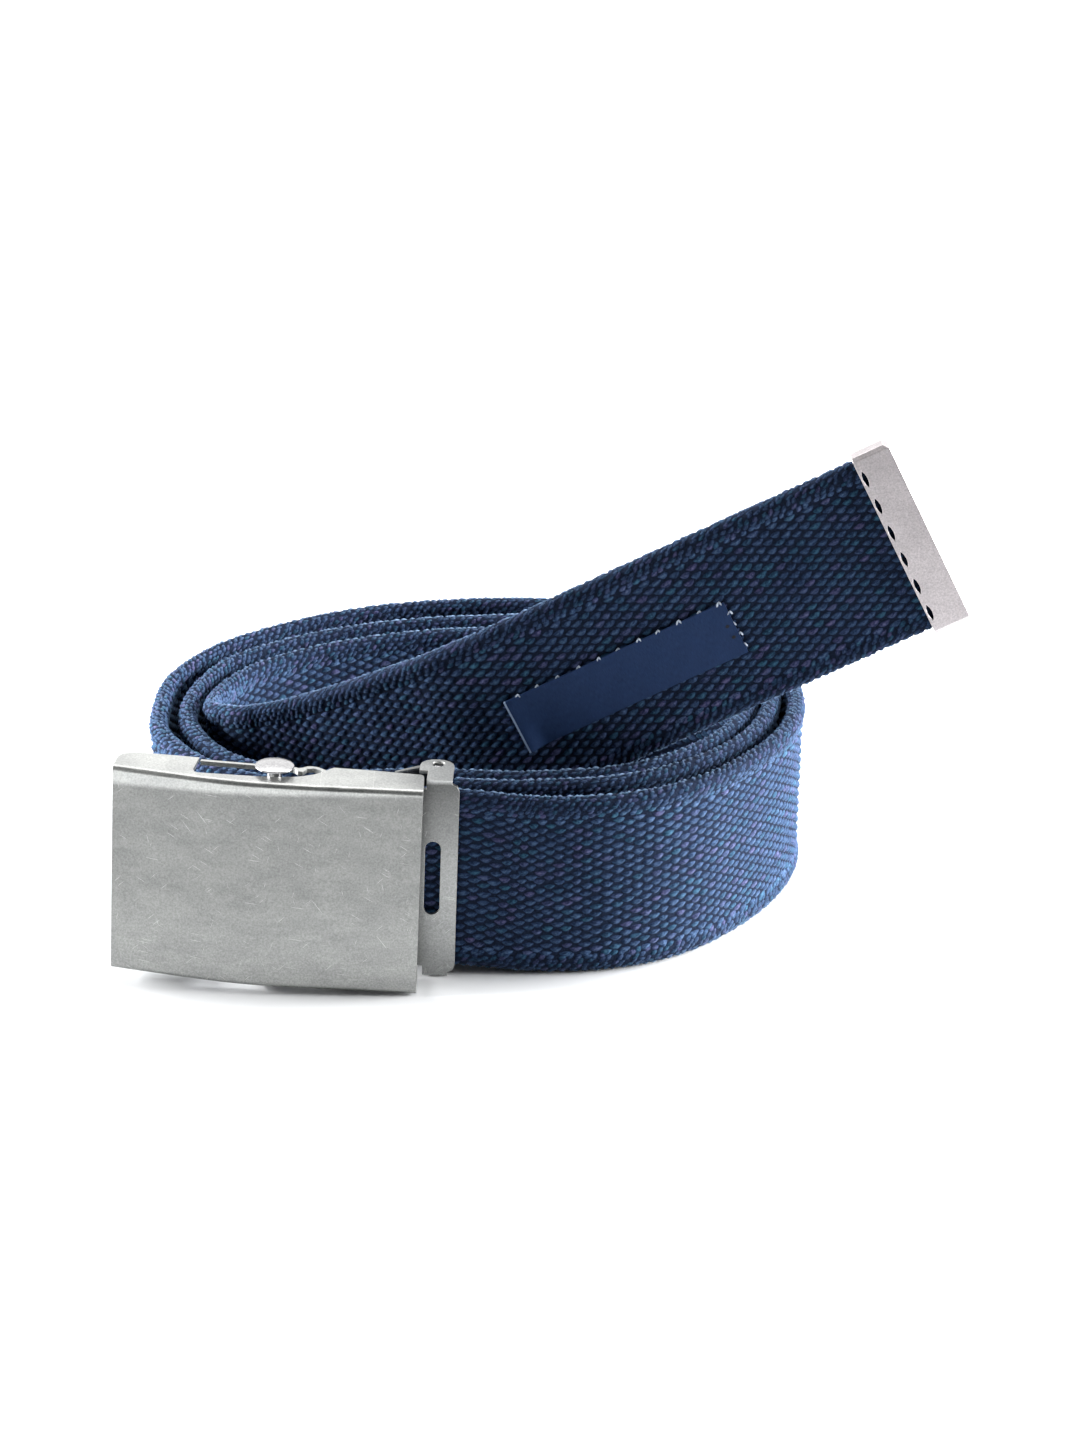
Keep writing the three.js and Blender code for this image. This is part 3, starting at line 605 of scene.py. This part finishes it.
core, girth = makeCore(strap, coreMaterial(shadow))
cottonYarn = yarnMaterial(cotton, girth)
crest, tuftShape = makeCrest(yarn), makeCrest(tuft)
rowCount = 2 * round(girth / yarn["row"] / 2)
beadRows = math.ceil(yarn["bead"] / (girth / rowCount))
flatRows = rowCount // 2 - 2 * beadRows + 1
weaver = weaveTree(spread)
common = {"Core": core, "Length": strapLength, "Girth": girth, "Row": girth / rowCount, "Yarn": cottonYarn}
bands = []  # shape, first row, rows
for edge in (0, rowCount // 2):
    first, middle = edge + beadRows, edge + beadRows + flatRows // 2
    bands.append((yarn, crest, first, flatRows // 2))
    bands.append((yarn, crest, middle, flatRows - flatRows // 2))
    bands.append((tuft, tuftShape, edge - beadRows + 1, 2 * beadRows - 1))
weave = []
for number, (kind, shape, first, rows) in enumerate(bands, 1):
    weave.append(growPiece("webbingYarn%d" % number, weaver, {
        **common, "Crest": shape, "Pitch": kind["pitch"], "First row": first, "Rows": rows,
        "Crests in a row": int((strapLength - kind["endGap"]) / kind["pitch"]),
        "Slant": math.radians(kind["slant"]), "Wander": kind["wander"],
        "Seed": kind["seed"] + 11 * number}))
fibre = makeFibre(fuzz)
weave.append(growPiece("looseFibres", fuzzTree(fuzz), {
    "Core": core, "Fibre": fibre, "Per area": fuzz["perArea"], "Seed": fuzz["seed"],
    "Cloth": plainMaterial("looseCotton", fuzz["colour"], 1.0, 0.1)}))
for shape in (crest, tuftShape, fibre):
    bpy.data.objects.remove(shape)
print("webbing woven:", rowCount, "rows,", sum(len(w.data.polygons) for w in weave), "faces")

finish = {  # metres and degrees
    "merge": 2e-6, "flat": 0.15, "sharp": 40, "segments": 2,
    "rim": 3e-5, "rimSegments": 3, "rimProfile": 0.6,
}


# bevelled, smooth copy of a CAD node with its flat faces joined
def finerCopy(node, name, bevel, materials, endBevel=0):
    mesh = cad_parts[node].data.copy()
    mesh.materials.clear()
    for material in materials:
        mesh.materials.append(material)
    bm = bmesh.new()
    bm.from_mesh(mesh)
    bmesh.ops.remove_doubles(bm, verts=bm.verts, dist=finish["merge"])
    bmesh.ops.dissolve_limit(bm, angle_limit=math.radians(finish["flat"]), verts=bm.verts, edges=bm.edges)
    if endBevel:
        outer = Vector(strapAxes(np.array([strapLength]))[0][0])
        reach = max(v.co.dot(outer) for v in bm.verts)
        rim = [e for e in bm.edges if all(v.co.dot(outer) > reach - finish["rim"] for v in e.verts)]
        bmesh.ops.bevel(bm, geom=rim, offset=endBevel, offset_type="OFFSET", segments=finish["rimSegments"],
                        profile=finish["rimProfile"], affect="EDGES", clamp_overlap=True, material=1)
    bm.to_mesh(mesh)
    bm.free()
    piece = linkObject(name, mesh)
    edges = piece.modifiers.new("edges", "BEVEL")
    edges.width = bevel
    edges.segments = finish["segments"]
    edges.material = 1
    edges.limit_method = "ANGLE"
    edges.angle_limit = math.radians(finish["sharp"])
    edges.use_clamp_overlap = True
    piece.data.shade_smooth()
    normals = piece.modifiers.new("normals", "WEIGHTED_NORMAL")
    normals.weight = 100
    normals.keep_sharp = False
    bpy.context.view_layer.update()
    ready = piece.evaluated_get(bpy.context.evaluated_depsgraph_get())
    done = bpy.data.meshes.new_from_object(ready)
    piece.modifiers.clear()
    piece.data = done
    bpy.data.meshes.remove(mesh)
    done.name = name
    return piece


nickel = {
    "base": (0.278, 0.282, 0.273), "dark": (0.228, 0.231, 0.226), "scratch": (0.72, 0.72, 0.70),
    "rough": (0.34, 0.46), "grain": 2600.0, "relief": 0.00003,
    "cloud": (0.009, 0.009, 0.004), "tarnish": (0.36, 0.6),  # cell size in m, ramp places
    "speck": [(0.32, (0.78, 0.78, 0.78)), (0.68, (1.16, 1.16, 1.16))],
    "low": 1.24, "middle": 0.95, "top": 0.93,  # painted reflection: lighter low down, darker higher up
    "cap": 2.0,  # painted highlight on the turned-over top edge
    "heights": {"low": 0.1, "middle": 0.45, "top": 0.865, "cap": 0.885},  # shares of 50 mm
    "mark": 0.85,
}

# scratches in one turn each: degrees, length and width of their cells in m, share of cells
scratches = [
    (32, 0.008, 0.00018, 0.08), (-41, 0.007, 0.00017, 0.07), (78, 0.006, 0.00016, 0.05),
    (7, 0.010, 0.00018, 0.06), (-72, 0.006, 0.00016, 0.06), (54, 0.014, 0.0002, 0.03),
]


# thin straight scratches, each one the heart of a long narrow cell
def scratchMask(tree, place, scratch):
    turn, length, width, share = scratch
    cells = addNode(tree, "ShaderNodeTexVoronoi", {
        "Scale": 1.0, "Vector": mapped(tree, place, (length, 0.3, width), (0, turn, 0))}, feature="F1")
    near = ramp(tree, cells.outputs["Distance"], [(0.10, (1, 1, 1)), (0.16, (0, 0, 0))])
    pick = addNode(tree, "ShaderNodeSeparateColor", {0: cells.outputs["Color"]})
    chosen = maths(tree, "GREATER_THAN", pick.outputs[0], 1 - share)
    return maths(tree, "MULTIPLY", near, chosen)


# worn metal: even with a fine grain, faint tarnish and sparse scratches, and painted light and shade by
# height
def metalMaterial(name, metal, scratches=()):
    material, tree, shader = newMaterial(name)
    place = ownPlace(tree)
    cloud = noise(tree, mapped(tree, place, metal["cloud"]), 1.0, 6.0, 0.68)
    colour = ramp(tree, cloud, list(zip(metal["tarnish"], (metal["dark"], metal["base"]))))
    grain = noise(tree, place, metal["grain"], 3.0, 0.65)
    colour = blendColour(tree, "MULTIPLY", 1.0, colour, ramp(tree, grain, metal["speck"]))
    # painted reflection and highlight by height
    height = maths(tree, "DIVIDE", splitVector(tree, place)[2], 0.05)
    paintedHeightLight = ramp(tree, height, [(share, (metal[key],) * 3) for key, share in metal["heights"].items()])
    colour = blendColour(tree, "MULTIPLY", 1.0, colour, paintedHeightLight)
    for scratch in scratches:
        mark = maths(tree, "MULTIPLY", scratchMask(tree, place, scratch), metal["mark"])
        colour = blendColour(tree, "MIX", mark, colour, metal["scratch"])
    wire(tree, colour, shader.inputs["Base Color"])
    wire(tree, mapRange(tree, cloud, 0.0, 1.0, *metal["rough"]), shader.inputs["Roughness"])
    shader.inputs["Metallic"].default_value = 1.0
    bump(tree, grain, metal["relief"], 0.5, shader)
    return material


wornNickelPaintedLight = metalMaterial("wornNickelPaintedLight", nickel, scratches)
# painted shade on the clamp's upper part under the housing, painted highlight on the top of its ear
clampNickel = metalMaterial("clampNickel", {
    **nickel, "base": (0.335, 0.34, 0.335), "dark": (0.30, 0.305, 0.30), "low": 1.0, "top": 0.34,
    "cap": 1.6}, scratches)
even = {**nickel, "low": 1.0, "middle": 1.0, "top": 1.0, "cap": 1.0}
brightNickel, tipNickel, edgeHighlight, paintedTipHighlight = (
    metalMaterial(name, {**even, "base": base, "dark": dark, "rough": rough})
    for name, base, dark, rough in (
        ("brightNickel", (0.54, 0.535, 0.54), (0.46, 0.455, 0.46), (0.18, 0.28)),
        ("tipNickel", (0.57, 0.53, 0.54), (0.50, 0.465, 0.475), (0.42, 0.5)),
        # painted highlight along bevelled edges
        ("paintedEdgeHighlight", (0.62, 0.62, 0.60), (0.46, 0.46, 0.45), (0.32, 0.42)),
        # painted highlight on the tip's end chamfer
        ("paintedTipHighlight", (0.78, 0.73, 0.74), (0.72, 0.67, 0.68), (0.42, 0.5))))

# each piece's bevels take its second material, a painted highlight on the housing, clamp and lever
for node, name, bevel, endBevel, material, edge in (
        ("buckle_housing", "buckleHousing", 0.00022, 0, wornNickelPaintedLight, edgeHighlight),
        ("strap_clamp", "strapClamp", 0.0002, 0, clampNickel, edgeHighlight),
        ("clamp_lever", "clampLever", 0.0002, 0, clampNickel, edgeHighlight),
        ("clamp_pin", "clampPin", 0.0001, 0, brightNickel, brightNickel),
        ("lock_roller", "lockRoller", 0.0001, 0, brightNickel, brightNickel),
        ("strap_tip", "strapTip", 0.0001, 0.001, tipNickel, paintedTipHighlight)):
    piece = finerCopy(node, name, bevel, (material, edge), endBevel)
    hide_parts(node)
    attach(piece, "roller" if node == "lock_roller" else "belt")
    print("metal piece", name, len(piece.data.polygons), "faces")

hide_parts("webbing_strap")
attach(core, "belt")
for piece in weave:
    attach(piece, "belt")

label = {  # mm
    "foot": 12.4, "wide": 11.9, "long": 49.0, "toTip": 35.8, "thick": 0.4, "stand": 2.0,
    "columns": 70, "rows": 18,
    "curl": 1.3, "curlReach": 2.6, "curlTop": 0.3,  # the left end lifts, most at its lower corner
    "backCurl": 0.2,  # the back follows this share of the lift
    "wave": 0.06, "waveTurns": (0.9, 0.7),
    # edge is a painted highlight along the fold at the label's left end
    "fold": 0.38, "edge": (0.22, 0.30, 0.44), "thread": (0.38, 0.44, 0.54), "hole": (0.004, 0.006, 0.012),
    "rib": (0.00011, 0.0011, 0.0011), "ribRelief": 0.00006,  # m
    "satin": [(0.3, (0.008, 0.022, 0.072)), (0.7, (0.014, 0.036, 0.100))],
}
labelEnd = strapLength * 1000 - strap["tipCover"] - label["toTip"]


def labelMaterial(label):
    material, tree, shader = newMaterial("satinLabel")
    cloth = attribute(tree, "cloth").outputs["Vector"]
    ribs = noise(tree, mapped(tree, cloth, label["rib"]), 1.0, 2.0)
    wire(tree, ramp(tree, ribs, label["satin"]), shader.inputs["Base Color"])
    shader.inputs["Roughness"].default_value = 0.55
    shader.inputs["Specular IOR Level"].default_value = 0.12
    bump(tree, ribs, label["ribRelief"], 0.6, shader)
    return material


def makeLabel(label, material):
    start = labelEnd - label["long"]
    rows, columns = label["rows"], label["columns"]
    s = start + label["long"] * np.linspace(0, 1, columns)
    s = np.concatenate([[s[0], s[0] + label["fold"]], s[1:-1], [s[-1]]])
    columns = len(s)
    v = label["foot"] + label["wide"] * np.linspace(0, 1, rows)
    s, v = (grid.ravel() for grid in np.meshgrid(s, v, indexing="ij"))
    low = 1 - (v - label["foot"]) / label["wide"]
    curl = label["curl"] * np.exp(-(((s - start) / label["curlReach"]) ** 2))
    lift = curl * (label["curlTop"] + (1 - label["curlTop"]) * low)
    wave = label["wave"] * np.sin(s * label["waveTurns"][0]) * np.sin(v * label["waveTurns"][1] + 1)
    layers = [onStrap(s / 1000, v / 1000, (label["stand"] + lift * share + wave + depth) / 1000)
              for depth, share in ((0, label["backCurl"]), (label["thick"], 1))]
    grid = np.arange(columns * rows).reshape(columns, rows)
    a, b, c, d = grid[:-1, :-1], grid[1:, :-1], grid[1:, 1:], grid[:-1, 1:]
    upper = np.stack([a, b, c, d], axis=-1).reshape(-1, 4) + columns * rows
    lower = np.stack([a, d, c, b], axis=-1).reshape(-1, 4)
    rim = np.concatenate([grid[:, 0], grid[-1, 1:], grid[::-1, -1][1:], grid[0, ::-1][1:-1]])
    after = np.roll(rim, -1)
    sides = np.stack([rim, after, after + columns * rows, rim + columns * rows], axis=1)
    piece = linkMesh("wovenLabel", np.vstack(layers), np.vstack([upper, lower, sides]).tolist(), material)
    storeVectors(piece.data, "cloth", np.tile(np.stack([s, v, np.zeros_like(s)], axis=1) / 1000, (2, 1)))
    bm = bmesh.new()
    bm.from_mesh(piece.data)
    bmesh.ops.recalc_face_normals(bm, faces=bm.faces)
    bm.to_mesh(piece.data)
    bm.free()
    piece.data.set_sharp_from_angle(angle=math.radians(50))
    # painted highlight on the folded left end
    piece.data.materials.append(plainMaterial("labelFoldHighlight", label["edge"], 0.6))
    foldEnd = (start + label["fold"]) / 1000 + 1e-6
    place = piece.data.attributes["cloth"].data
    for face in piece.data.polygons:
        if all(place[v].vector[0] < foldEnd for v in face.vertices):
            face.material_index = 1
    return piece


sewing = {  # metres and degrees
    "arms": ((-0.00032, 50), (0.0003, 105)), "thread": (0.0006, 0.00021, 0.0002), "stitchHeight": 0.00095,
    "hole": 0.0004, "holeHeight": 0.00112, "holeFlat": 0.12, "wander": 0.00015,
}


# small ellipsoids in one mesh, each one a unit ball moved by its matrix
def makeBalls(name, places, around, smooth):
    bm = bmesh.new()
    for place in places:
        bmesh.ops.create_uvsphere(bm, u_segments=around, v_segments=6, radius=1, matrix=place)
    mesh = bpy.data.meshes.new(name)
    bm.to_mesh(mesh)
    bm.free()
    if smooth:
        mesh.shade_smooth()
    return linkObject(name, mesh)


# two short stitches of thread that meet in a small V
def makeStitch(sewing):
    places, thread = [], Matrix.Diagonal((*sewing["thread"], 1))
    for x, turn in sewing["arms"]:
        place = Matrix.Translation((x, 0, sewing["stitchHeight"]))
        places.append(place @ Matrix.Rotation(math.radians(turn), 4, "Z") @ thread)
    return makeBalls("labelStitch", places, 8, True)


# round needle hole, drawn as a thin dark disc on the label: painted shade inside the hole
def makeHole(sewing):
    size = sewing["hole"]
    place = Matrix.Translation((0, 0, sewing["holeHeight"]))
    place = place @ Matrix.Diagonal((size, size, size * sewing["holeFlat"], 1))
    return makeBalls("needleHole", [place], 10, False)


# stitches along the label's upper edge and right end, and needle holes beside the end ones
def sewLabel(label, sewing):
    end = labelEnd / 1000
    radius = (strap["selvage"] / 2 - strap["beadRecess"]) / 1000
    shift = radius * math.pi / 2 - strap["selvage"] / 2000  # place round the core less height on it
    top = (label["foot"] + label["wide"]) / 1000 + shift
    pale = plainMaterial("paleThread", label["thread"], 0.7)
    dark = plainMaterial("needleDark", label["hole"], 0.9)
    stitch, hole = makeStitch(sewing), makeHole(sewing)
    flat = {"Core": core, "Length": strapLength, "Girth": girth, "Slant": 0.0, "Wander": sewing["wander"]}
    sewn = []
    # name, shape, material, start, pitch, row spacing, first row, rows, number in a row, seed
    for name, shape, thread, start, pitch, row, first, rows, number, seed in (
            ("labelStitches", stitch, pale, end - label["long"] / 1000 - 0.0006, 0.0045,
             top + 0.0001, 1, 1, 11, 21),
            ("endStitches", stitch, pale, end - 0.0003, 0.0006, top / 10, 6, 4, 1, 22),
            ("needleHoles", hole, dark, end - 0.0018, 0.0008, top / 10, 6, 4, 1, 23)):
        sewn.append(growPiece(name, weaver, {
            **flat, "Crest": shape, "Yarn": thread, "Start": start, "Pitch": pitch, "Row": row,
            "First row": first, "Rows": rows, "Crests in a row": number, "Seed": seed}))
    bpy.data.objects.remove(stitch)
    bpy.data.objects.remove(hole)
    return sewn


satinLabel = makeLabel(label, labelMaterial(label))
for piece in sewLabel(label, sewing):
    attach(piece, "belt")
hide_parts("woven_label")
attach(satinLabel, "belt")
print("label made")

studio = {
    "floor": (0.70, 0.71, 0.72), "front": -0.285, "far": 6, "drop": 0.00005,
    "world": 0.05, "sky": (0.93, 0.96, 1.0), "aim": (0, 0, 0.04),
    "lights": [  # name, place, size, watts
        ("leftSoftbox", (-0.95, 0.18, 0.26), (0.8, 0.5), 44.0),
        ("rightSoftbox", (0.95, 0.14, 0.26), (0.8, 0.5), 60.0),
        ("backSoftbox", (0.0, 1.3, 0.75), (2.4, 1.3), 14.0),
        ("topSoftbox", (0.0, 0.36, 1.1), (1.4, 0.7), 10.0),
    ],
}


def makeStudio(studio):
    edge, far = studio["front"], studio["far"]
    corners = [(-far, edge, 0), (far, edge, 0), (far, far, 0), (-far, far, 0)]
    pale = plainMaterial("paleFloor", studio["floor"], 0.8)
    floor = linkMesh("studioFloor", corners, [(0, 1, 2, 3)], pale)
    floor.location.z = -studio["drop"]
    world = bpy.data.worlds.new("studioWorld")
    world.use_nodes = True
    backdrop = world.node_tree.nodes["Background"]
    backdrop.inputs[0].default_value = (*studio["sky"], 1)
    backdrop.inputs[1].default_value = studio["world"]
    scene.world = world
    aim = Vector(studio["aim"])
    for name, place, size, watts in studio["lights"]:
        data = bpy.data.lights.new(name, "AREA")
        data.shape = "RECTANGLE"
        data.size, data.size_y = size
        data.energy = watts
        lamp = linkObject(name, data)
        lamp.location = place
        lamp.rotation_euler = (aim - Vector(place)).to_track_quat("-Z", "Y").to_euler()


makeStudio(studio)
print("studio lit")
